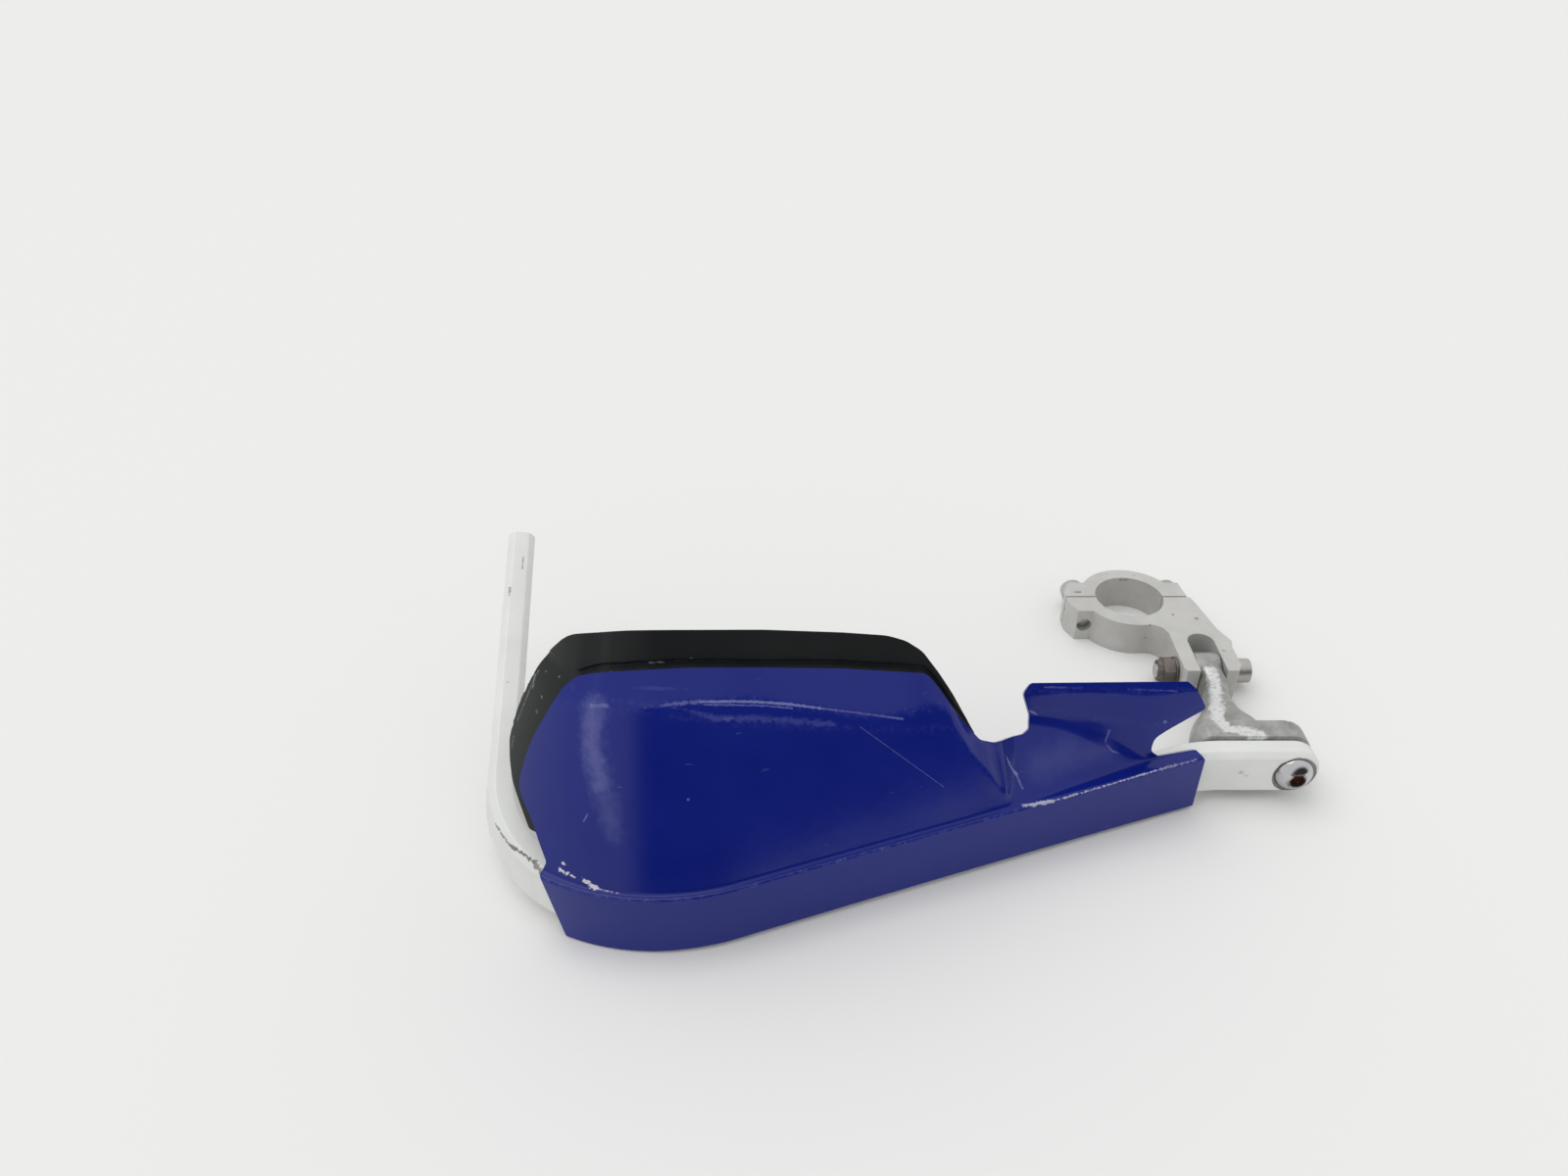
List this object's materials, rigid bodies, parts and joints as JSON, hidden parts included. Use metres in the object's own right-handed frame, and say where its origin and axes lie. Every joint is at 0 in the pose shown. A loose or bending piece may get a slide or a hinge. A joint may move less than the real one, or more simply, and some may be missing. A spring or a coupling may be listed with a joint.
{
  "type": "motorcycle hand guard",
  "caption": "Left-hand motorcycle guard: bent flat alloy bar, faceted blue shield with a black wind deflector, and a pivoting cast arm with a two-piece handlebar clamp.",
  "frame": {"origin": "centre of the handlebar bore, halfway up the clamp", "axes": "+Z along the handlebar bore, upwards as the part lies; +X along the guard towards its inner, pivot end; +Y towards the rider"},
  "size_m": [0.3018, 0.194, 0.1005],
  "materials": {
    "clamp_alloy": "bead-blasted casting, slightly stained",
    "arm_alloy": "rough casting with a filed ridge",
    "bar_paint": "pale silver paint over alloy, chipped and scratched",
    "shield_blue": "deep blue, glossy, scuffed along its edges",
    "deflector_black": "satin black",
    "screw_steel": "zinc-plated, dulled",
    "bolt_chrome": "plated, with a rusty socket",
    "dark_steel": "dark and rusty",
    "black_steel": "black oxide",
    "insert_brass": "machined"
  },
  "bodies": {
    "clamp": {"clamp_body": "clamp_alloy", "clamp_cap": "clamp_alloy", "clamp_screw_left": "screw_steel", "clamp_screw_right": "screw_steel", "fork_bolt": "screw_steel", "fork_washer": "dark_steel", "fork_nut": "dark_steel"},
    "arm": {"mounting_arm": "arm_alloy", "pivot_bolt": "bolt_chrome"},
    "guard": {"guard_bar": "bar_paint", "shield": "shield_blue", "deflector": "deflector_black", "shield_insert_inner": "insert_brass", "shield_insert_outer": "insert_brass", "shield_washer_inner": "screw_steel", "shield_washer_outer": "screw_steel", "shield_screw_inner": "screw_steel", "shield_screw_outer": "screw_steel", "deflector_screw_inner": "black_steel", "deflector_screw_middle": "black_steel", "deflector_screw_outer": "black_steel"}
  },
  "joints": [
    {"name": "fork_swivel", "type": "hinge", "parent": "clamp", "child": "arm", "pos_m": [0.0217, -0.041, 0], "axis": [1, 0, 0], "range_deg": [-90, 90]},
    {"name": "guard_pivot", "type": "hinge", "parent": "arm", "child": "guard", "pos_m": [0.0335, -0.10205, 0.0055], "axis": [0, 1, 0], "continuous": true}
  ]
}
